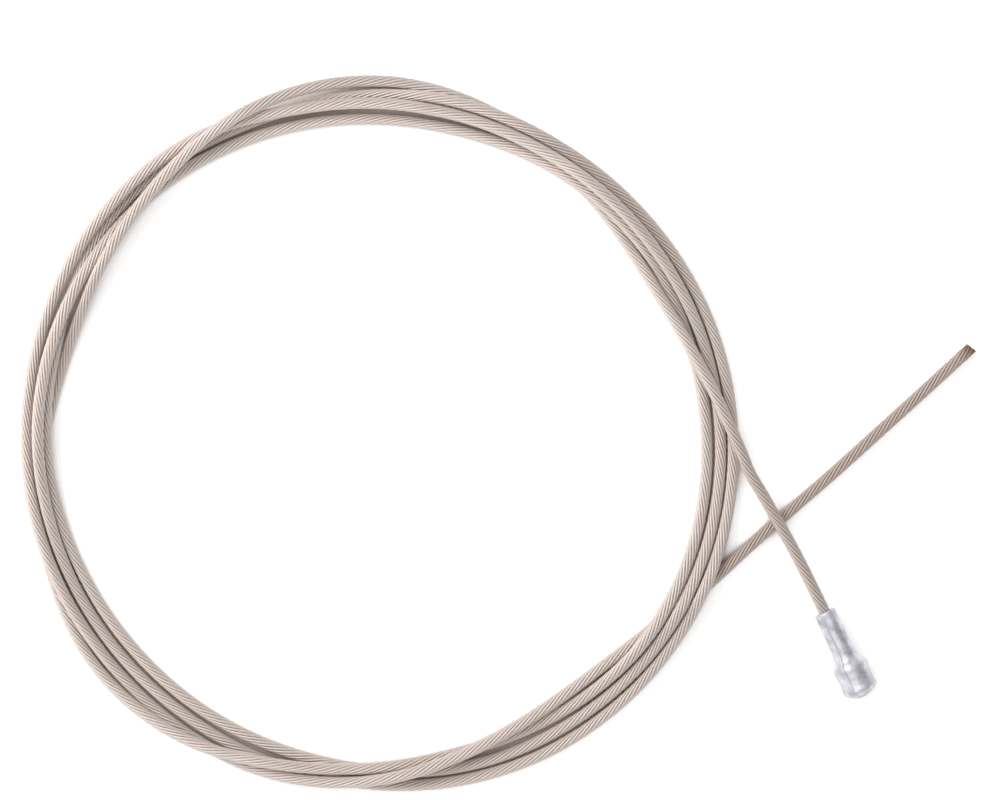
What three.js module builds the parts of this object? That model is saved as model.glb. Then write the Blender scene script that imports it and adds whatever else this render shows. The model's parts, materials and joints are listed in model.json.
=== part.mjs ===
// Bicycle brake cable: a bare stranded steel wire with a cast pear nipple on one end and a plain cut on the
// other. It lies flat in a loose coil of four turns that pass over and under each other.
// Millimetres, +Z up, with the floor at z = 0.

import * as THREE from 'three';
import { mergeVertices } from 'three/addons/utils/BufferGeometryUtils.js';

// Cable
const CABLE_DIAMETER = 1.6;
const CABLE_SIDES = 8;
const STEP_IN_DIAMETERS = 2.5;

// Coil: the middle of its ring of turns, and the angle between two sections of the cable
const COIL_RADIUS = 45.07;
const SECTION_ANGLE = 3;

// How far apart two turns lie, middle to middle in cable diameters, side by side and across each other
const BESIDE = 1.04;
const ACROSS = 1.08;

// Nipple: a straight neck, a flare, a slightly waisted head and a low dome
const NECK_DIAMETER = 2.9;
const NECK_LENGTH = 6.8;
const MOUTH_EDGE = 0.2;
const HEAD_DIAMETER = 4.75;
const HEAD_LENGTH = 3.4;
const WAIST_DEPTH = 0.1;
const FLARE_LENGTH = 1.1;
const SHOULDER_EDGE = 0.5;
const DOME_RISE = 1.1;
const NIPPLE_SIDES = 32;
const POINTS_PER_CURVE = 4;

// Clearance between two stretches of the cable that meet end to end, and between the cable and the nipple
const END_GAP = 0.3;

// Each turn as it lies: the angle in degrees, anticlockwise from +X, and the distance outward from COIL_RADIUS
// in cable diameters
const TURNS = [
  [
    [-6, 2.7], [0, 1.0], [5, 0.15], [10, -0.75], [15, -1.4], [20, -1.9], [25, -2.2], [32, -2.3], [40, -2.1],
    [50, -1.65], [60, -0.75], [70, 0.1], [80, 0.75], [90, 1.15], [98, 1.24], [104, 1.15], [110, 0.95],
    [120, 0.4], [130, -0.25], [140, -0.75], [150, -1.15], [158, -1.28], [166, -1.15], [175, -0.6],
    [185, 0.35], [195, 1.1], [205, 1.75], [213, 2.25], [221, 2.55], [231, 2.3], [240, 1.8], [250, 0.75],
    [260, 0.1], [270, -0.4], [283, -0.85], [300, -0.55], [320, -0.15], [335, -0.35], [350, -0.7],
  ],
  [
    [0, -1.0], [18, -1.25], [33, -1.3], [44, -1.55], [60, -1.8], [76, -2.05], [90, -1.9], [105, -1.5],
    [120, -0.95], [130, -0.5], [148, -0.08], [157, 0.05], [166, 0.22], [180, 0.28], [200, 0.34],
    [220, 0.38], [235, 0.46], [250, 0.85], [265, 1.0], [280, 1.45], [297, 1.8], [318, 1.85], [340, 1.6],
  ],
  [
    [0, 1.15], [20, 0.65], [40, 0.15], [60, -0.1], [80, 0.15], [92, 0.2], [98, 0.12], [106, -0.12],
    [112, -0.12], [120, 0.1], [128, 0.4], [138, 0.72], [149, 0.45], [158, -0.02], [165, -0.22], [185, -0.3],
    [200, -0.52], [212, -0.68], [225, -0.76], [245, -0.62], [260, -0.38], [270, 0], [282, 0.42], [292, 0.6],
    [305, 0.7], [320, 0.85], [340, 0.6],
  ],
  [
    [0, 0.1], [20, -0.4], [40, -0.8], [58, -1.1], [80, -0.8], [100, -0.4], [109, -0.1], [120, 0.85],
    [132, 1.2], [150, 1.37], [205, 1.4], [235, 1.55], [247, 1.65], [257, 1.3], [265, 0.9], [275, 0.1],
    [285, -0.75], [294, -1.35], [305, -1.65], [312, -1.5], [318, -1.1], [323, -0.55], [328, 0.25],
    [333, 1.2], [336, 2.05],
  ],
];

// Where one turn lies on another: the angle, the upper turn and the lower turn. Each holds for LEAN degrees
// either way, up to a nearer one.
const CROSSINGS = [
  [0, 1, 3], [6, 1, 4], [14, 1, 2], [35, 4, 2], [50, 2, 1], [55, 4, 2], [57, 4, 1], [69, 3, 1],
  [98, 4, 3], [111, 4, 3], [117, 1, 4], [122, 1, 3], [128, 4, 3], [134, 1, 2], [143, 4, 3], [159, 2, 3],
  [174, 2, 3], [179, 3, 1], [184, 2, 1], [190, 2, 3], [199, 4, 1], [242, 1, 4], [250, 1, 2], [263, 4, 2],
  [265, 1, 3], [276, 4, 3], [284, 4, 1], [325, 1, 4], [331, 3, 4], [335, 2, 4],
];
const LEAN = 17;

// The cable's free stretches, as [x, y] from the coil's own ends: out to the nipple, and out to the cut end
const NIPPLE_LEAD = [
  [0, 0], [1.35, -2.3], [2.75, -4.75], [4.2, -7.3], [5.7, -10.0], [7.6, -13.7], [9.5, -17.6], [9.95, -18.56],
];
const CUT_END_LEAD = [
  [0, 0], [1.8, 1.65], [3.6, 3.35], [6.75, 6.2], [11.6, 10.4], [14.85, 13.2], [18.05, 16.05], [21.2, 18.9],
  [24.4, 21.8], [27.55, 24.65], [31.1, 27.9], [34.65, 31.15],
];

const WIRE_STEEL = new THREE.MeshStandardMaterial({ color: 0xa99c90, roughness: 0.38, metalness: 0.9 });
const CAST_ALLOY = new THREE.MeshStandardMaterial({ color: 0xb9bbc0, roughness: 0.45, metalness: 0.85 });

// The angle counted on from the first turn
const unrolled = (angle, turn) => angle + 360 * (turn - 1);

function between(keys, at) {
  const next = Math.max(1, keys.findIndex(([angle]) => angle >= at));
  const [low, high] = [keys[next - 1], keys[next]];
  return low[1] + ((at - low[0]) / (high[0] - low[0])) * (high[1] - low[1]);
}

function smoothed(values) {
  return values.map((value, i) => {
    if (i === 0 || i === values.length - 1) {
      return value;
    }
    return (values[i - 1] + 2 * value + values[i + 1]) / 4;
  });
}

// 1 where the later of two sections lies on the earlier, -1 where it lies under it, 0 where they lie abreast
function layOrder(earlier, later) {
  let nearest = LEAN;
  let order = 0;
  for (const [angle, upper, lower] of CROSSINGS) {
    const [up, down] = [unrolled(angle, upper), unrolled(angle, lower)];
    for (const [first, second, sign] of [[down, up, 1], [up, down, -1]]) {
      const away = Math.max(Math.abs(earlier - first), Math.abs(later - second));
      if (away < nearest) {
        nearest = away;
        order = sign;
      }
    }
  }
  return order;
}

// Sections of the cable at the same angle on different turns, near enough to touch
function touchingPairs(angles, lanes) {
  const perTurn = Math.round(360 / SECTION_ANGLE);
  const pairs = [];
  for (let i = 0; i < angles.length; i += 1) {
    for (let j = i + perTurn; j < angles.length; j += perTurn) {
      if (Math.abs(lanes[i] - lanes[j]) < 2 * ACROSS) {
        pairs.push([i, j, layOrder(angles[i], angles[j])]);
      }
    }
  }
  return pairs;
}

// Turns that lie in one layer are moved apart until they lie beside each other
function spreadSideways(lanes, pairs) {
  const rounds = 80;
  const unsmoothed = 4;
  let shifts = lanes.map(() => 0);
  for (let round = 0; round < rounds; round += 1) {
    for (const [i, j, order] of pairs) {
      const side = lanes[j] + shifts[j] - lanes[i] - shifts[i];
      if (order === 0 && Math.abs(side) < BESIDE) {
        const push = ((BESIDE - Math.abs(side)) / 2) * Math.sign(side);
        shifts[i] -= push;
        shifts[j] += push;
      }
    }
    if (round < rounds - unsmoothed) {
      shifts = smoothed(smoothed(shifts));
    }
  }
  return lanes.map((lane, i) => lane + shifts[i]);
}

// The cable sinks to the floor under its weight, and each crossing holds the upper turn clear of the lower
function settleHeights(lanes, pairs, startHeight) {
  const rounds = 600;
  const unsmoothed = 40;
  const sink = 0.005;
  const floor = 0.5;
  let heights = lanes.map(() => floor);
  for (let round = 0; round < rounds; round += 1) {
    if (round < rounds - unsmoothed) {
      heights = smoothed(heights.map((height) => height - sink));
    }
    heights = heights.map((height) => Math.max(floor, height));
    heights[0] = startHeight;
    for (const [i, j, order] of pairs) {
      const side = Math.abs(lanes[j] - lanes[i]);
      if (order !== 0 && side < ACROSS) {
        const [upper, lower] = order > 0 ? [j, i] : [i, j];
        const lack = Math.sqrt(ACROSS ** 2 - side ** 2) - heights[upper] + heights[lower];
        if (lack > 0) {
          heights[upper] += lack / 2;
          heights[lower] = Math.max(floor, heights[lower] - lack / 2);
        }
      }
    }
  }
  return heights;
}

// The centreline of the coil, from the nipple's side to the cut end's side
function coilLine(startHeight) {
  const smoothings = 4;
  const keys = TURNS.flatMap((turn, k) => turn.map(([angle, lane]) => [unrolled(angle, k + 1), lane]));
  const angles = [];
  for (let angle = keys[0][0]; angle <= keys[keys.length - 1][0]; angle += SECTION_ANGLE) {
    angles.push(angle);
  }
  let lanes = angles.map((angle) => between(keys, angle));
  for (let pass = 0; pass < smoothings; pass += 1) {
    lanes = smoothed(lanes);
  }
  const pairs = touchingPairs(angles, lanes);
  lanes = spreadSideways(lanes, pairs);
  const heights = settleHeights(lanes, pairs, startHeight / CABLE_DIAMETER);
  return angles.map((angle, i) => {
    const radius = COIL_RADIUS + lanes[i] * CABLE_DIAMETER;
    const turned = THREE.MathUtils.degToRad(angle);
    return new THREE.Vector3(
      radius * Math.cos(turned),
      radius * Math.sin(turned),
      heights[i] * CABLE_DIAMETER,
    );
  });
}

function leadLine(from, offsets, height) {
  return offsets.map(([x, y]) => new THREE.Vector3(from.x + x, from.y + y, height));
}

function smoothCurve(points) {
  const divisionsPerPoint = 8;
  const curve = new THREE.CatmullRomCurve3(points);
  curve.arcLengthDivisions = divisionsPerPoint * points.length;
  return curve;
}

// The part of a line that is left when a length is taken off each end
function trimmed(points, startGap, endGap) {
  const curve = smoothCurve(points);
  const length = curve.getLength();
  const steps = Math.ceil((length - startGap - endGap) / (STEP_IN_DIAMETERS * CABLE_DIAMETER));
  const line = [];
  for (let i = 0; i <= steps; i += 1) {
    const along = startGap + (i / steps) * (length - startGap - endGap);
    line.push(curve.getPointAt(along / length));
  }
  return line;
}

// A round bar along a line, closed at both ends
function cableAlong(points, startGap, endGap) {
  const line = trimmed(points, startGap, endGap);
  const corners = [];
  for (let side = 0; side < CABLE_SIDES; side += 1) {
    const turned = ((side + 0.5) / CABLE_SIDES) * 2 * Math.PI;
    corners.push(new THREE.Vector2(Math.cos(turned), Math.sin(turned)).multiplyScalar(CABLE_DIAMETER / 2));
  }
  return new THREE.ExtrudeGeometry(new THREE.Shape(corners), {
    steps: line.length - 1,
    bevelEnabled: false,
    extrudePath: smoothCurve(line),
  });
}

// The nipple about its own axis, +Y from the mouth to the domed end
function nippleGeometry() {
  const neck = NECK_DIAMETER / 2;
  const head = HEAD_DIAMETER / 2;
  const shoulderStart = NECK_LENGTH + FLARE_LENGTH;
  const headEnd = shoulderStart + HEAD_LENGTH;
  const total = headEnd + DOME_RISE;
  const flare = new THREE.Vector2(head - neck, FLARE_LENGTH).normalize().multiplyScalar(SHOULDER_EDGE);
  const domeRadius = (head ** 2 + DOME_RISE ** 2) / (2 * DOME_RISE);
  const domeEdge = Math.atan2(head, domeRadius - DOME_RISE);
  const profile = new THREE.Path();
  profile.moveTo(0, 0);
  profile.lineTo(neck - MOUTH_EDGE, 0);
  profile.quadraticCurveTo(neck, 0, neck, MOUTH_EDGE);
  profile.lineTo(neck, NECK_LENGTH);
  profile.lineTo(head - flare.x, shoulderStart - flare.y);
  profile.quadraticCurveTo(head, shoulderStart, head, shoulderStart + SHOULDER_EDGE);
  profile.quadraticCurveTo(head - 2 * WAIST_DEPTH, (shoulderStart + headEnd) / 2, head, headEnd);
  profile.absarc(0, total - domeRadius, domeRadius, Math.PI / 2 - domeEdge, Math.PI / 2, false);
  const outline = profile.getPoints(POINTS_PER_CURVE);
  outline[outline.length - 1].set(0, total);
  return new THREE.LatheGeometry(outline, NIPPLE_SIDES);
}

function named(name, geometry, material) {
  const sameCorner = 1e-5;
  geometry.deleteAttribute('uv');
  geometry.deleteAttribute('normal');
  const closed = mergeVertices(geometry, sameCorner);
  closed.computeVertexNormals();
  const mesh = new THREE.Mesh(closed, material);
  mesh.name = name;
  return mesh;
}

const nippleHeight = HEAD_DIAMETER / 2;
const coil = coilLine(nippleHeight);
const nippleLead = leadLine(coil[0], NIPPLE_LEAD, nippleHeight);
const cutEndLead = leadLine(coil[coil.length - 1], CUT_END_LEAD, CABLE_DIAMETER / 2);

const nipple = named('nipple', nippleGeometry(), CAST_ALLOY);
const mouth = nippleLead[nippleLead.length - 1];
const beforeMouth = nippleLead[nippleLead.length - 2];
nipple.position.copy(mouth);
nipple.quaternion.setFromUnitVectors(
  new THREE.Vector3(0, 1, 0),
  mouth.clone().sub(beforeMouth).normalize(),
);

const cable = new THREE.Group();
cable.add(
  nipple,
  named('nipple_lead', cableAlong(nippleLead, END_GAP / 2, END_GAP), WIRE_STEEL),
  named('coil_turns', cableAlong(coil, END_GAP / 2, END_GAP / 2), WIRE_STEEL),
  named('cut_end_lead', cableAlong(cutEndLead, END_GAP / 2, 0), WIRE_STEEL),
);

// The origin is on the floor, at the middle of the whole cable
const middle = new THREE.Box3().setFromObject(cable).getCenter(new THREE.Vector3());
cable.position.set(-middle.x, -middle.y, 0);

const group = new THREE.Group();
group.name = 'brake_cable';
group.add(cable);

export default group;
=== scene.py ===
"""Looks of a bare bicycle brake cable: fourteen drawn wires laid into one strand, and its cast pear nipple.

Lengths are in millimetres up to the meshes, which are in metres like the rest of the scene.
"""

import json
import math

import bpy
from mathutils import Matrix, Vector, noise


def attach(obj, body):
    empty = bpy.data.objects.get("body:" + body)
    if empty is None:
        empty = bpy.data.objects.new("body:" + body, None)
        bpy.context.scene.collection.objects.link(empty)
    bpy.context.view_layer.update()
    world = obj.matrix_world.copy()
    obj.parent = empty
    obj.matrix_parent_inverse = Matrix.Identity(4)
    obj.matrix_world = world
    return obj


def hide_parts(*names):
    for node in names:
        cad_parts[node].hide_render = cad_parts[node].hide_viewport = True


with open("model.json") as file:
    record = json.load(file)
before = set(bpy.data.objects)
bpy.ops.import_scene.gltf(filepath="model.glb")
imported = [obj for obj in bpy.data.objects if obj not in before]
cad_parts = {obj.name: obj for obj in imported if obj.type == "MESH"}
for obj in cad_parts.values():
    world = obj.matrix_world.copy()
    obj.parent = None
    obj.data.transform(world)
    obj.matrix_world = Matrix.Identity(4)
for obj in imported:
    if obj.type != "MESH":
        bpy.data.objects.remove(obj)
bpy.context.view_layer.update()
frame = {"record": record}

MM = 0.001

# Cable
CABLE_DIAMETER = 1.6
WIRE_DIAMETER = 0.362
OUTER_WIRES = 10
CORE_WIRES = 4
LAY_LENGTH = 12.7
SECTIONS_PER_LAY = 13
OUTER_SIDES = 8
CORE_SIDES = 6
CUT_SLANT = 0.16
WIRE_END_BEVEL = 0.03
INSIDE_NIPPLE = 0.5

# Coil
COIL_RADIUS = 45.07
SECTION_ANGLE = 3

# How far apart two turns lie, middle to middle in cable diameters, side by side and across each other
BESIDE = 1.04
ACROSS = 1.08

# Each turn as it lies: the angle in degrees, anticlockwise from +X, and the distance outward from
# COIL_RADIUS in cable diameters
TURNS = [
    [
        (-6, 2.7), (0, 1.0), (5, 0.15), (10, -0.75), (15, -1.4), (20, -1.9), (25, -2.2), (32, -2.3),
        (40, -2.1), (50, -1.65), (60, -0.75), (70, 0.1), (80, 0.75), (90, 1.15), (98, 1.24), (104, 1.15),
        (110, 0.95), (120, 0.4), (130, -0.25), (140, -0.75), (150, -1.15), (158, -1.28), (166, -1.15),
        (175, -0.6), (185, 0.35), (195, 1.1), (205, 1.75), (213, 2.25), (221, 2.55), (231, 2.3), (240, 1.8),
        (250, 0.75), (260, 0.1), (270, -0.4), (283, -0.85), (300, -0.55), (320, -0.15), (335, -0.35),
        (350, -0.7),
    ],
    [
        (0, -1.0), (18, -1.25), (33, -1.3), (44, -1.55), (60, -1.8), (76, -2.05), (90, -1.9), (105, -1.5),
        (120, -0.95), (130, -0.5), (148, -0.08), (157, 0.05), (166, 0.22), (180, 0.28), (200, 0.34),
        (220, 0.38), (235, 0.46), (250, 0.85), (265, 1.0), (280, 1.45), (297, 1.8), (318, 1.85), (340, 1.6),
    ],
    [
        (0, 1.15), (20, 0.65), (40, 0.15), (60, -0.1), (80, 0.15), (92, 0.2), (98, 0.12), (106, -0.12),
        (112, -0.12), (120, 0.1), (128, 0.4), (138, 0.72), (149, 0.45), (158, -0.02), (165, -0.22),
        (185, -0.3), (200, -0.52), (212, -0.68), (225, -0.76), (245, -0.62), (260, -0.38), (270, 0),
        (282, 0.42), (292, 0.6), (305, 0.7), (320, 0.85), (340, 0.6),
    ],
    [
        (0, 0.1), (20, -0.4), (40, -0.8), (58, -1.1), (80, -0.8), (100, -0.4), (109, -0.1), (120, 0.85),
        (132, 1.2), (150, 1.37), (205, 1.4), (235, 1.55), (247, 1.65), (257, 1.3), (265, 0.9), (275, 0.1),
        (285, -0.75), (294, -1.35), (305, -1.65), (312, -1.5), (318, -1.1), (323, -0.55), (328, 0.25),
        (333, 1.2), (336, 2.05),
    ],
]

# Where one turn lies on another: the angle, the upper turn and the lower turn. Each holds for LEAN degrees
# either way, up to a nearer one.
CROSSINGS = [
    (0, 1, 3), (6, 1, 4), (14, 1, 2), (35, 4, 2), (50, 2, 1), (55, 4, 2), (57, 4, 1), (69, 3, 1),
    (98, 4, 3), (111, 4, 3), (117, 1, 4), (122, 1, 3), (128, 4, 3), (134, 1, 2), (143, 4, 3), (159, 2, 3),
    (174, 2, 3), (179, 3, 1), (184, 2, 1), (190, 2, 3), (199, 4, 1), (242, 1, 4), (250, 1, 2), (263, 4, 2),
    (265, 1, 3), (276, 4, 3), (284, 4, 1), (325, 1, 4), (331, 3, 4), (335, 2, 4),
]
LEAN = 17

# The free stretches, as (x, y) from the coil's own ends: out to the nipple, and out to the cut end
NIPPLE_LEAD = [
    (0, 0), (1.35, -2.3), (2.75, -4.75), (4.2, -7.3), (5.7, -10.0), (7.6, -13.7), (9.5, -17.6),
    (9.95, -18.56),
]
CUT_END_LEAD = [
    (0, 0), (1.8, 1.65), (3.6, 3.35), (6.75, 6.2), (11.6, 10.4), (14.85, 13.2), (18.05, 16.05),
    (21.2, 18.9), (24.4, 21.8), (27.55, 24.65), (31.1, 27.9), (34.65, 31.15),
]

# Nipple
NECK_DIAMETER = 2.9
NECK_LENGTH = 6.8
MOUTH_EDGE = 0.2
MOUTH_SINK = 0.15
HEAD_DIAMETER = 4.75
HEAD_LENGTH = 3.4
WAIST_DEPTH = 0.1
FLARE_LENGTH = 1.1
SHOULDER_EDGE = 0.5
DOME_RISE = 1.1
NIPPLE_SIDES = 240
NIPPLE_STEP = 0.09
SAME_PLACE = 0.01
CAST_RIPPLE = 0.02
SEAM_RISE = 0.05
SEAM_WIDTH = 0.08
SEAM_ANGLE = math.radians(65)
HEAD_EDGE = 0.12
HEAD_EDGE_DROP = 0.1
DOME_SHARE = 0.96
DOME_STEPS = 14

# The casting's ripple: how fine each layer of noise is, and its weight
RIPPLE_LAYERS = ((0.9, 1), (2.3, 0.5), (5.1, 0.25))

# Points worked out between two given ones on the cable's route
POINTS_PER_SPAN = 12

# Wire surface: its colours as a picture shows them, how far out from a wire's own middle its painted groove
# shade begins to fade and has gone, and its gloss and drawing lines
WIRE_TAN = (217, 203, 194)
WIRE_GREY = (211, 205, 202)
WIRE_PALE = (232, 226, 220)
WIRE_GROOVE_SHADE = (216, 203, 195)
WIRE_STAIN = (140, 98, 66)
WIRE_END_SHADE = (226, 219, 215)
GROOVE_SHADE_FULL_AT = -0.03
GROOVE_SHADE_GONE_AT = 0.11
PALE_LINES = 0.2
WIRE_ROUGHNESS = (0.6, 0.68)
COAT_WEIGHT = 0.1
COAT_ROUGHNESS = 0.2
LINE_BUMP = 0.004
LINE_BUMP_STRENGTH = 0.15

# Where painted shade darkens the cable towards either end, and where its cut end is stained, as lengths from
# that end
CUT_END_SHADE_FROM = 70
CUT_END_SHADE_FULL = 35
CUT_END_SHADE = 0.9
NIPPLE_END_SHADE_FULL = 18
NIPPLE_END_SHADE_FROM = 42
NIPPLE_END_SHADE = 0.5
STAIN_FROM = 2.6
STAIN_FULL = 0.2
STAIN_SHARE = 0.85

# Noise on the wires: how fine it is along a wire and across it, and how far it moves on from wire to wire
LINE_GRAIN = (0.3, 14, 14)
TONE_GRAIN = (0.02, 0, 0)
STAIN_GRAIN = (1.6, 6, 6)
WIRE_OFFSETS = (900, 7, 3)

# Values between which noise mostly lies, for soft and for stronger contrast
NOISE_SOFT = (0.3, 0.7)
NOISE_STRONG = (0.35, 0.65)
STAIN_EDGE = (0.3, 0.55)
PIT_EDGE = (0.75, 0.8)
SEAM_SHADE_EDGE = (0.4, 0.55)

# Casting surface: its colours as a picture shows them, how fine its noise is per metre, and its bumps
CAST_DARK = (178, 179, 188)
CAST_PALE = (224, 223, 229)
CAST_PIT = (90, 92, 98)
CAST_SEAM_SHADE = (138, 138, 144)
CLOUD_SCALE = 700
FINE_SCALE = 3200
PIT_SCALE = 1300
PIT_SHARE = 0.8
SEAM_SHADE_SHARES = (0.2, 0.7)
CAST_ROUGHNESS = (0.4, 0.55)
COARSE_BUMP = 0.05
COARSE_BUMP_STRENGTH = 0.5
FINE_BUMP = 0.015
FINE_BUMP_STRENGTH = 0.4

# Floor: its half width, how far it lies below the cable, how far round a point its openness is judged, the
# openness where its glow begins and is full, the glow, and its colours in the open and, as painted shade,
# under the turns
FLOOR_HALF = 1500
FLOOR_CLEARANCE = 0.01
FLOOR_REACH = 4
FLOOR_OPENING = (0.3, 0.55)
FLOOR_GLOW = 0.42
FLOOR_WHITE = (0.8, 0.8, 0.8, 1.0)
FLOOR_SHADED = (0.46, 0.38, 0.32, 1.0)

# Studio: its strength on the left and on the right, and the sideways directions between which it fades
STUDIO_LEFT = 1.0
STUDIO_RIGHT = 0.45
STUDIO_FADE = (-0.3, 0.75)

# Lamps: place and size in metres, power in watts, tint
KEY_LAMP = ((-0.12, 0.09, 0.95), 0.12, 0.7, (1.0, 1.0, 1.0))
SIDE_LAMP = ((-0.2, 0.14, 0.24), 0.2, 0.5, (1.0, 0.99, 0.98))

# The picture that the camera frames, in pixels, and the real width of one of them
PICTURE_WIDTH = 982
CABLE_IN_PICTURE = 12
PIXEL = CABLE_DIAMETER / CABLE_IN_PICTURE

# Camera: the point of the floor that it looks straight down at, its sensor's width and its lens
VIEW_MIDDLE = (-0.97, 4.47)
SENSOR_WIDTH = 36
LENS = 135


# The cable's route

def unrolled(angle, turn):
    """The angle counted on from the first turn."""
    return angle + 360 * (turn - 1)


def between(keys, at):
    following = max(1, next(i for i, (angle, _) in enumerate(keys) if angle >= at))
    (low, low_lane), (high, high_lane) = keys[following - 1], keys[following]
    return low_lane + (at - low) / (high - low) * (high_lane - low_lane)


def smoothed(values):
    inner = [(a + 2 * b + c) / 4 for a, b, c in zip(values, values[1:], values[2:])]
    return [values[0], *inner, values[-1]]


def lay_order(earlier, later):
    """1 where the later of two sections lies on the earlier, -1 where it lies under it, 0 where abreast."""
    nearest = LEAN
    order = 0
    for angle, upper, lower in CROSSINGS:
        up, down = unrolled(angle, upper), unrolled(angle, lower)
        for first, second, sign in ((down, up, 1), (up, down, -1)):
            away = max(abs(earlier - first), abs(later - second))
            if away < nearest:
                nearest = away
                order = sign
    return order


def touching_pairs(angles, lanes):
    """Sections of the cable at the same angle on different turns, near enough to touch."""
    per_turn = round(360 / SECTION_ANGLE)
    return [
        (i, j, lay_order(angles[i], angles[j]))
        for i in range(len(angles))
        for j in range(i + per_turn, len(angles), per_turn)
        if abs(lanes[i] - lanes[j]) < 2 * ACROSS
    ]


def spread_sideways(lanes, pairs):
    """Turns that lie in one layer are moved apart until they lie beside each other."""
    rounds = 80
    unsmoothed = 4
    shifts = [0.0] * len(lanes)
    for step in range(rounds):
        for i, j, order in pairs:
            side = lanes[j] + shifts[j] - lanes[i] - shifts[i]
            if order == 0 and abs(side) < BESIDE:
                push = math.copysign((BESIDE - abs(side)) / 2, side)
                shifts[i] -= push
                shifts[j] += push
        if step < rounds - unsmoothed:
            shifts = smoothed(smoothed(shifts))
    return [lane + shift for lane, shift in zip(lanes, shifts)]


def settle_heights(lanes, pairs, start_height):
    """The cable sinks to the floor, and each crossing holds the upper turn clear of the lower one."""
    rounds = 600
    unsmoothed = 40
    sink = 0.005
    floor = 0.5
    heights = [floor] * len(lanes)
    for step in range(rounds):
        if step < rounds - unsmoothed:
            heights = smoothed([height - sink for height in heights])
        heights = [max(floor, height) for height in heights]
        heights[0] = start_height
        for i, j, order in pairs:
            side = abs(lanes[j] - lanes[i])
            if order != 0 and side < ACROSS:
                upper, lower = (j, i) if order > 0 else (i, j)
                lack = math.sqrt(ACROSS ** 2 - side ** 2) - heights[upper] + heights[lower]
                if lack > 0:
                    heights[upper] += lack / 2
                    heights[lower] = max(floor, heights[lower] - lack / 2)
    return heights


def coil_line(start_height):
    """The centreline of the coil about its own centre, from the nipple's side to the cut end's side."""
    smoothings = 4
    keys = [(unrolled(angle, turn), lane) for turn, row in enumerate(TURNS, 1) for angle, lane in row]
    angles = list(range(keys[0][0], keys[-1][0] + 1, SECTION_ANGLE))
    lanes = [between(keys, angle) for angle in angles]
    for _ in range(smoothings):
        lanes = smoothed(lanes)
    pairs = touching_pairs(angles, lanes)
    lanes = spread_sideways(lanes, pairs)
    heights = settle_heights(lanes, pairs, start_height / CABLE_DIAMETER)
    line = []
    for angle, lane, height in zip(angles, lanes, heights):
        radius = COIL_RADIUS + lane * CABLE_DIAMETER
        turned = math.radians(angle)
        line.append(Vector((radius * math.cos(turned), radius * math.sin(turned), height * CABLE_DIAMETER)))
    return line


def catmull_rom(points, per_span):
    """A centripetal curve through the points, sampled per_span times between two of them."""
    ends = [2 * points[0] - points[1], *points, 2 * points[-1] - points[-2]]
    line = []
    for p0, p1, p2, p3 in zip(ends, ends[1:], ends[2:], ends[3:]):
        d0, d1, d2 = (math.sqrt((b - a).length) for a, b in ((p0, p1), (p1, p2), (p2, p3)))
        start = ((p1 - p0) / d0 - (p2 - p0) / (d0 + d1) + (p2 - p1) / d1) * d1
        end = ((p2 - p1) / d1 - (p3 - p1) / (d1 + d2) + (p3 - p2) / d2) * d1
        for step in range(per_span):
            t = step / per_span
            line.append(
                (2 * t ** 3 - 3 * t ** 2 + 1) * p1
                + (t ** 3 - 2 * t ** 2 + t) * start
                + (3 * t ** 2 - 2 * t ** 3) * p2
                + (t ** 3 - t ** 2) * end
            )
    line.append(points[-1].copy())
    return line


def evenly(line, step):
    """The same line with its points about step apart."""
    reach = [0.0]
    for a, b in zip(line, line[1:]):
        reach.append(reach[-1] + (b - a).length)
    count = math.ceil(reach[-1] / step)
    even = []
    at = 0
    for i in range(count + 1):
        wanted = reach[-1] * i / count
        while at < len(line) - 2 and reach[at + 1] < wanted:
            at += 1
        share = (wanted - reach[at]) / (reach[at + 1] - reach[at])
        even.append(line[at].lerp(line[at + 1], share))
    return even


def cut_end_place():
    """The middle of the cut end, from the mount on its face."""
    mount = next(m for m in frame["record"]["mounts"] if m["name"] == "cut_end_face")
    return Vector(mount["pos_m"]) / MM


def cable_route():
    """Points through the whole cable, from the nipple's mouth to the cut end, in the row frame."""
    coil = coil_line(HEAD_DIAMETER / 2)
    lead = [coil[0] + Vector((x, y, 0)) for x, y in reversed(NIPPLE_LEAD)]
    tail_start = Vector((coil[-1].x, coil[-1].y, CABLE_DIAMETER / 2))
    tail = [tail_start + Vector((x, y, 0)) for x, y in CUT_END_LEAD]
    points = lead[:-1] + coil + tail[1:]
    shift = cut_end_place() - points[-1]
    return [point + shift for point in points]


# Mesh helpers

def new_piece(name, vertices, faces, smooth=True):
    mesh = bpy.data.meshes.new(name)
    mesh.from_pydata([tuple(v * MM) for v in vertices], [], faces)
    mesh.validate()
    if smooth:
        mesh.shade_smooth()
    else:
        mesh.shade_flat()
    piece = bpy.data.objects.new(name, mesh)
    bpy.context.scene.collection.objects.link(piece)
    return piece


def point_values(piece, name, kind, values):
    """A named value on each vertex, for the material."""
    made = piece.data.attributes.new(name, kind, "POINT")
    made.data.foreach_set("vector" if kind == "FLOAT_VECTOR" else "value", values)


def skin(first, rows, sides):
    """Quads between rows of vertices that lie round a tube, from the vertex with number first."""
    faces = []
    for row in range(rows - 1):
        for side in range(sides):
            a = first + row * sides + side
            b = first + row * sides + (side + 1) % sides
            faces.append((a, b, b + sides, a + sides))
    return faces


# The strand

def strand_frames(line):
    """At each point of the strand: the point, its right, its up, and the length along the strand so far."""
    frames = []
    along = 0.0
    for i, point in enumerate(line):
        before = line[max(0, i - 1)]
        after = line[min(len(line) - 1, i + 1)]
        along += (point - before).length
        right = (after - before).cross(Vector((0, 0, 1))).normalized()
        up = right.cross(after - before).normalized()
        frames.append((point, right, up, along))
    return frames


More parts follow.
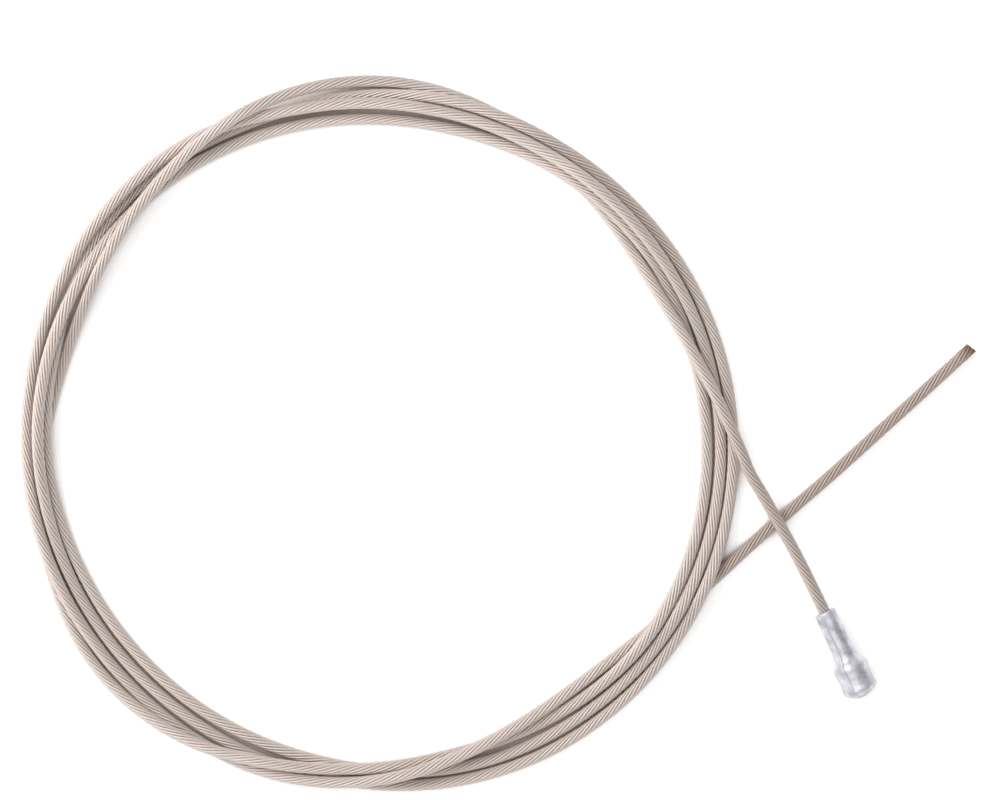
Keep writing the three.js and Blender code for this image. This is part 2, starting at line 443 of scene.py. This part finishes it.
def wire_line(frames, pitch_radius, start_angle):
    """The middle of one laid wire, with the direction that points outward from the strand at each point."""
    middles = []
    outward = []
    for point, right, up, along in frames:
        turned = start_angle + 2 * math.pi * along / LAY_LENGTH
        away = math.cos(turned) * right + math.sin(turned) * up
        middles.append(point + pitch_radius * away)
        outward.append(away)
    return middles, outward


def laid_wires(name, frames, pitch_radius, count, sides):
    """Wires laid left-handed round the strand. Each vertex keeps its place on its own straight wire."""
    vertices = []
    faces = []
    straight = []
    wire_numbers = []
    for wire in range(count):
        middles, outward = wire_line(frames, pitch_radius, 2 * math.pi * wire / count)
        tilt = (middles[-1] - frames[-1][0]).dot(frames[-1][1]) / (CABLE_DIAMETER / 2)
        first = len(vertices)
        rings = []
        for i, (middle, away) in enumerate(zip(middles, outward)):
            heading = (middles[min(i + 1, len(middles) - 1)] - middles[max(i - 1, 0)]).normalized()
            radial = (away - away.dot(heading) * heading).normalized()
            rings.append((middle, heading, radial, WIRE_DIAMETER / 2, frames[i][3]))
        middle, heading, radial, radius, along = rings[-1]
        cut = middle + (tilt * CUT_SLANT - WIRE_END_BEVEL) * heading
        rings[-1] = (cut, heading, radial, radius, along)
        rings.append((cut + WIRE_END_BEVEL * heading, heading, radial, radius - WIRE_END_BEVEL, along))
        for middle, heading, radial, radius, along in rings:
            sideways = heading.cross(radial)
            for side in range(sides):
                turned = 2 * math.pi * side / sides
                across = radius * math.cos(turned), radius * math.sin(turned)
                vertices.append(middle + across[0] * radial + across[1] * sideways)
                straight.extend((along, *across))
        faces += skin(first, len(rings), sides)
        faces.append(tuple(reversed(range(first, first + sides))))
        faces.append(tuple(range(len(vertices) - sides, len(vertices))))
        wire_numbers += [wire / count] * (len(vertices) - first)
    piece = new_piece(name, vertices, faces)
    point_values(piece, "straight", "FLOAT_VECTOR", straight)
    point_values(piece, "wire_number", "FLOAT", wire_numbers)
    return piece


# The nipple

def nipple_profile():
    """(length from the mouth, radius) down the nipple, from the rim round the wire to the top of the dome."""
    neck = NECK_DIAMETER / 2
    head = HEAD_DIAMETER / 2
    shoulder_start = NECK_LENGTH + FLARE_LENGTH
    head_end = shoulder_start + HEAD_LENGTH
    dome_radius = (head ** 2 + DOME_RISE ** 2) / (2 * DOME_RISE)
    dome_middle = head_end + DOME_RISE - dome_radius
    dome_edge = math.asin(head / dome_radius)
    slope = Vector((FLARE_LENGTH, head - neck)).normalized() * SHOULDER_EDGE
    keys = [
        Vector((MOUTH_SINK, CABLE_DIAMETER / 2)),
        Vector((0, CABLE_DIAMETER / 2 + MOUTH_SINK)),
        *curve_2d((0, neck - MOUTH_EDGE), (0, neck), (MOUTH_EDGE, neck), steps=5),
        *curve_2d(
            (NECK_LENGTH - SHOULDER_EDGE, neck), (NECK_LENGTH, neck),
            (NECK_LENGTH + slope.x, neck + slope.y), steps=5,
        ),
        *curve_2d(
            (shoulder_start - slope.x, head - slope.y), (shoulder_start, head),
            (shoulder_start + SHOULDER_EDGE, head - WAIST_DEPTH / 3), steps=6,
        ),
        *curve_2d(
            (shoulder_start + SHOULDER_EDGE, head - WAIST_DEPTH / 3),
            ((shoulder_start + head_end) / 2 + SHOULDER_EDGE / 2, head - 2 * WAIST_DEPTH),
            (head_end - HEAD_EDGE, head), steps=8,
        ),
        *curve_2d(
            (head_end - HEAD_EDGE, head), (head_end, head),
            (head_end + HEAD_EDGE / 2, head - HEAD_EDGE_DROP), steps=4,
        ),
    ]
    for step in range(1, DOME_STEPS + 1):
        turned = dome_edge * DOME_SHARE * (1 - step / DOME_STEPS)
        keys.append(Vector((dome_middle + dome_radius * math.cos(turned), dome_radius * math.sin(turned))))
    return keys


def curve_2d(start, bend, end, steps):
    """Points on a quadratic curve from start to end, drawn towards bend."""
    start, bend, end = Vector(start), Vector(bend), Vector(end)
    return [
        (1 - t) ** 2 * start + 2 * t * (1 - t) * bend + t ** 2 * end
        for t in (step / steps for step in range(steps + 1))
    ]


def nipple_piece(name, mouth, axis):
    """The casting, turned about axis from the mouth, with rippled skin and the mould's seam on both sides."""
    rows = []
    profile = nipple_profile()
    for (start, start_radius), (end, end_radius) in zip(profile, profile[1:]):
        steps = math.ceil(math.hypot(end - start, end_radius - start_radius) / NIPPLE_STEP - SAME_PLACE)
        for step in range(steps):
            share = step / steps
            rows.append((start + share * (end - start), start_radius + share * (end_radius - start_radius)))
    apex = profile[-1][0]
    sideways = axis.cross(Vector((0, 0, 1))).normalized()
    up = sideways.cross(axis).normalized()
    vertices = []
    seam_shares = []
    for length, radius in rows:
        ripple = CAST_RIPPLE * min(1, radius) * min(1, length)
        for side in range(NIPPLE_SIDES):
            turned = 2 * math.pi * side / NIPPLE_SIDES
            away = math.cos(turned) * sideways + math.sin(turned) * up
            seam = math.exp(-(radius * math.sin(turned - SEAM_ANGLE) / SEAM_WIDTH) ** 2) * min(1, length)
            seam_shares.append(seam)
            place = length * axis + radius * away
            bumps = sum(weight * noise.noise(place * fineness) for fineness, weight in RIPPLE_LAYERS)
            vertices.append(mouth + place + (ripple * bumps + SEAM_RISE * seam) * away)
    vertices.append(mouth + apex * axis)
    seam_shares.append(1.0)
    faces = skin(0, len(rows), NIPPLE_SIDES)
    last = (len(rows) - 1) * NIPPLE_SIDES
    for side in range(NIPPLE_SIDES):
        faces.append((last + side, last + (side + 1) % NIPPLE_SIDES, len(vertices) - 1))
    piece = new_piece(name, vertices, faces)
    point_values(piece, "seam", "FLOAT", seam_shares)
    return piece


# Materials

def colour(shown):
    """A colour as a picture shows it, from 0 to 255, in the shader's linear scale."""
    linear = []
    for value in shown:
        share = value / 255
        linear.append(share / 12.92 if share <= 0.04045 else ((share + 0.055) / 1.055) ** 2.4)
    return (*linear, 1.0)


class Finish:
    """A new material with short calls that add its nodes."""

    def __init__(self, name):
        self.material = bpy.data.materials.new(name)
        self.material.use_nodes = True
        self.tree = self.material.node_tree
        self.surface = self.tree.nodes["Principled BSDF"]

    def put(self, socket, value):
        if isinstance(value, bpy.types.NodeSocket):
            self.tree.links.new(value, socket)
        else:
            socket.default_value = value

    def shade(self, name, value):
        self.put(self.surface.inputs[name], value)

    def add(self, kind, inputs, output=0, **settings):
        node = self.tree.nodes.new("ShaderNode" + kind)
        for setting, value in settings.items():
            setattr(node, setting, value)
        for key, value in inputs.items():
            self.put(node.inputs[key], value)
        return node.outputs[output]

    def attribute(self, name, output):
        node = self.tree.nodes.new("ShaderNodeAttribute")
        node.attribute_name = name
        return node.outputs[output]

    def math(self, operation, first, second):
        return self.add("Math", {0: first, 1: second}, operation=operation)

    def mix(self, share, low, high, blend="MIX"):
        return self.add("Mix", {0: share, 6: low, 7: high}, output=2, data_type="RGBA", blend_type=blend)

    def ranged(self, value, low, high, to_low=0.0, to_high=1.0, smooth=False):
        kind = "SMOOTHSTEP" if smooth else "LINEAR"
        inputs = {0: value, 1: low, 2: high, 3: to_low, 4: to_high}
        return self.add("MapRange", inputs, interpolation_type=kind)

    def scaled(self, vector, scale):
        return self.add("VectorMath", {0: vector, 1: scale}, operation="MULTIPLY")

    def noise(self, vector, scale, detail=2.0, roughness=0.5):
        inputs = {"Vector": vector, "Scale": scale, "Detail": detail, "Roughness": roughness}
        return self.add("TexNoise", inputs)


def wire_finish(length):
    """Drawn stainless wire: faint lines from drawing, painted shade in the grooves, and painted shade towards
    both ends.
    """
    finish = Finish("drawn_wire")
    straight = finish.attribute("straight", "Vector")
    number = finish.attribute("wire_number", "Fac")
    along = finish.add("SeparateXYZ", {0: straight})
    outward = along.node.outputs[1]
    offset = finish.add("CombineXYZ", {0: number, 1: number, 2: number})
    moved = finish.add("VectorMath", {0: straight, 1: finish.scaled(offset, WIRE_OFFSETS)}, operation="ADD")
    lines = finish.noise(finish.scaled(moved, LINE_GRAIN), 1.0)
    slow = finish.noise(finish.scaled(moved, TONE_GRAIN), 1.0, detail=1.0)
    steel = finish.mix(finish.ranged(slow, *NOISE_STRONG), colour(WIRE_TAN), colour(WIRE_GREY))
    steel = finish.mix(finish.ranged(lines, *NOISE_SOFT, 0.0, PALE_LINES), steel, colour(WIRE_PALE))
    # Painted shade: the sides of each wire that face into the grooves take the darker groove colour
    crown_vs_groove_shade = finish.ranged(outward, GROOVE_SHADE_FULL_AT, GROOVE_SHADE_GONE_AT, smooth=True)
    steel = finish.mix(crown_vs_groove_shade, colour(WIRE_GROOVE_SHADE), steel)
    # Painted shade: the cable is darkened towards the cut end and towards the nipple end
    cut_end_shade = finish.ranged(
        along, length - CUT_END_SHADE_FROM, length - CUT_END_SHADE_FULL, 0.0, CUT_END_SHADE, smooth=True,
    )
    nipple_end_shade = finish.ranged(
        along, NIPPLE_END_SHADE_FULL, NIPPLE_END_SHADE_FROM, NIPPLE_END_SHADE, 0.0, smooth=True,
    )
    end_shade = finish.math("MAXIMUM", cut_end_shade, nipple_end_shade)
    steel = finish.mix(end_shade, steel, finish.mix(1.0, steel, colour(WIRE_END_SHADE), blend="MULTIPLY"))
    stain = finish.ranged(along, length - STAIN_FROM, length - STAIN_FULL, 0.0, STAIN_SHARE, smooth=True)
    patches = finish.noise(finish.scaled(moved, STAIN_GRAIN), 1.0)
    stain = finish.math("MULTIPLY", stain, finish.ranged(patches, *STAIN_EDGE))
    steel = finish.mix(stain, steel, colour(WIRE_STAIN))
    finish.shade("Base Color", steel)
    finish.shade("Metallic", 1.0)
    finish.shade("Roughness", finish.ranged(lines, *NOISE_SOFT, *WIRE_ROUGHNESS))
    finish.shade("Coat Weight", COAT_WEIGHT)
    finish.shade("Coat Roughness", COAT_ROUGHNESS)
    bump = finish.add("Bump", {"Strength": LINE_BUMP_STRENGTH, "Distance": LINE_BUMP * MM, "Height": lines})
    finish.shade("Normal", bump)
    return finish.material


def cast_finish():
    """Cast zinc alloy: a mottled bluish-grey skin, with a few small dark pits and painted shade along the
    mould's seam.
    """
    finish = Finish("cast_alloy")
    place = finish.add("TexCoord", {}, output=3)
    cloudy = finish.noise(place, CLOUD_SCALE, detail=4.0, roughness=0.6)
    fine = finish.noise(place, FINE_SCALE, detail=3.0, roughness=0.6)
    pits = finish.noise(place, PIT_SCALE, detail=1.0)
    skin_colour = finish.mix(finish.ranged(cloudy, *NOISE_STRONG), colour(CAST_DARK), colour(CAST_PALE))
    pit = finish.ranged(pits, *PIT_EDGE, 0.0, PIT_SHARE)
    skin_colour = finish.mix(pit, skin_colour, colour(CAST_PIT))
    # Painted shade along the mould's seam, patchy with the cloudy noise
    seam_shade_patches = finish.ranged(cloudy, *SEAM_SHADE_EDGE, *SEAM_SHADE_SHARES)
    seam_shade = finish.math("MULTIPLY", finish.attribute("seam", "Fac"), seam_shade_patches)
    finish.shade("Base Color", finish.mix(seam_shade, skin_colour, colour(CAST_SEAM_SHADE)))
    finish.shade("Metallic", 1.0)
    finish.shade("Roughness", finish.ranged(fine, *NOISE_SOFT, *CAST_ROUGHNESS))
    coarse = {"Strength": COARSE_BUMP_STRENGTH, "Distance": COARSE_BUMP * MM, "Height": cloudy}
    coarse_bump = finish.add("Bump", coarse)
    grain = {"Strength": FINE_BUMP_STRENGTH, "Distance": FINE_BUMP * MM, "Height": fine}
    finish.shade("Normal", finish.add("Bump", {**grain, "Normal": coarse_bump}))
    return finish.material


# Stage

def floor_finish():
    """White, with the shadow that the cable throws on it. Under and between the turns it loses its glow and
    takes a painted brown shade.
    """
    finish = Finish("white_floor")
    nodes = finish.tree.nodes
    path = nodes.new("ShaderNodeLightPath")
    seen = finish.math("MAXIMUM", path.outputs["Is Camera Ray"], path.outputs["Is Glossy Ray"])
    seen = finish.math("MAXIMUM", seen, path.outputs["Is Transmission Ray"])
    openness = finish.add("AmbientOcclusion", {"Distance": FLOOR_REACH * MM}, output=1, samples=8)
    # Painted shade: where the turns hem the floor in, it turns brown and loses its glow
    opening = finish.ranged(openness, *FLOOR_OPENING, smooth=True)
    matt = nodes.new("ShaderNodeBsdfDiffuse")
    finish.put(matt.inputs["Color"], finish.mix(opening, FLOOR_SHADED, FLOOR_WHITE))
    glow = nodes.new("ShaderNodeEmission")
    glowing = finish.math("MULTIPLY", opening, FLOOR_GLOW)
    finish.put(glow.inputs["Strength"], finish.math("MULTIPLY", seen, glowing))
    both = nodes.new("ShaderNodeAddShader")
    finish.put(both.inputs[0], matt.outputs[0])
    finish.put(both.inputs[1], glow.outputs[0])
    finish.put(nodes["Material Output"].inputs["Surface"], both.outputs[0])
    return finish.material


def make_floor():
    sides = ((-1, -1), (1, -1), (1, 1), (-1, 1))
    corners = [Vector((x * FLOOR_HALF, y * FLOOR_HALF, -FLOOR_CLEARANCE)) for x, y in sides]
    floor = new_piece("floor", corners, [(0, 1, 2, 3)], smooth=False)
    floor.data.materials.append(floor_finish())


def make_world():
    """A white studio, brighter on the left than on the right; the camera sees it plain white."""
    world = bpy.data.worlds.new("studio")
    world.use_nodes = True
    bpy.context.scene.world = world
    nodes = world.node_tree.nodes
    links = world.node_tree.links
    path = nodes.new("ShaderNodeLightPath")
    place = nodes.new("ShaderNodeTexCoord")
    axes = nodes.new("ShaderNodeSeparateXYZ")
    links.new(place.outputs["Generated"], axes.inputs[0])
    fade = nodes.new("ShaderNodeMapRange")
    fade.inputs["From Min"].default_value = STUDIO_FADE[0]
    fade.inputs["From Max"].default_value = STUDIO_FADE[1]
    fade.inputs["To Min"].default_value = STUDIO_LEFT
    fade.inputs["To Max"].default_value = STUDIO_RIGHT
    links.new(axes.outputs["X"], fade.inputs["Value"])
    strength = nodes.new("ShaderNodeMix")
    strength.inputs["B"].default_value = 1.0
    links.new(path.outputs["Is Camera Ray"], strength.inputs["Factor"])
    links.new(fade.outputs["Result"], strength.inputs["A"])
    background = nodes["Background"]
    background.inputs["Color"].default_value = (1.0, 1.0, 1.0, 1.0)
    links.new(strength.outputs["Result"], background.inputs["Strength"])


def make_lamp(name, place, size, power, tint):
    """A square soft light that faces the origin."""
    light = bpy.data.lights.new(name, "AREA")
    light.size = size
    light.energy = power
    light.color = tint
    lamp = bpy.data.objects.new(name, light)
    lamp.location = place
    lamp.rotation_euler = (-Vector(place)).to_track_quat("-Z", "Y").to_euler()
    bpy.context.scene.collection.objects.link(lamp)


def make_camera():
    """Straight down from above, where a pixel of the picture is PIXEL wide at one cable's height."""
    data = bpy.data.cameras.new("camera")
    data.sensor_width = SENSOR_WIDTH
    data.lens = LENS
    data.clip_start = 0.01
    camera = bpy.data.objects.new("camera", data)
    distance = PICTURE_WIDTH * PIXEL * data.lens / data.sensor_width
    camera.location = Vector((*VIEW_MIDDLE, distance + CABLE_DIAMETER)) * MM
    bpy.context.scene.collection.objects.link(camera)
    bpy.context.scene.camera = camera


bpy.context.scene.view_settings.view_transform = "Standard"
make_world()
make_floor()
make_camera()
make_lamp("key", *KEY_LAMP)
make_lamp("side", *SIDE_LAMP)


# The cable

route = evenly(catmull_rom(cable_route(), POINTS_PER_SPAN), LAY_LENGTH / SECTIONS_PER_LAY)
mouth = route[0]
nipple_axis = (route[0] - route[1]).normalized()
strand_line = [mouth + INSIDE_NIPPLE * nipple_axis, *route]
frames = strand_frames(strand_line)

wire_material = wire_finish(frames[-1][3])
strand = laid_wires("outer_wires", frames, (CABLE_DIAMETER - WIRE_DIAMETER) / 2, OUTER_WIRES, OUTER_SIDES)
core = laid_wires("core_wires", frames, WIRE_DIAMETER / math.sqrt(2), CORE_WIRES, CORE_SIDES)
for piece in (strand, core):
    piece.data.materials.append(wire_material)
    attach(piece, "root")
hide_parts("nipple_lead", "coil_turns", "cut_end_lead")

nipple = nipple_piece("pear_nipple", mouth, nipple_axis)
nipple.data.materials.append(cast_finish())
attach(nipple, "root")
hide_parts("nipple")
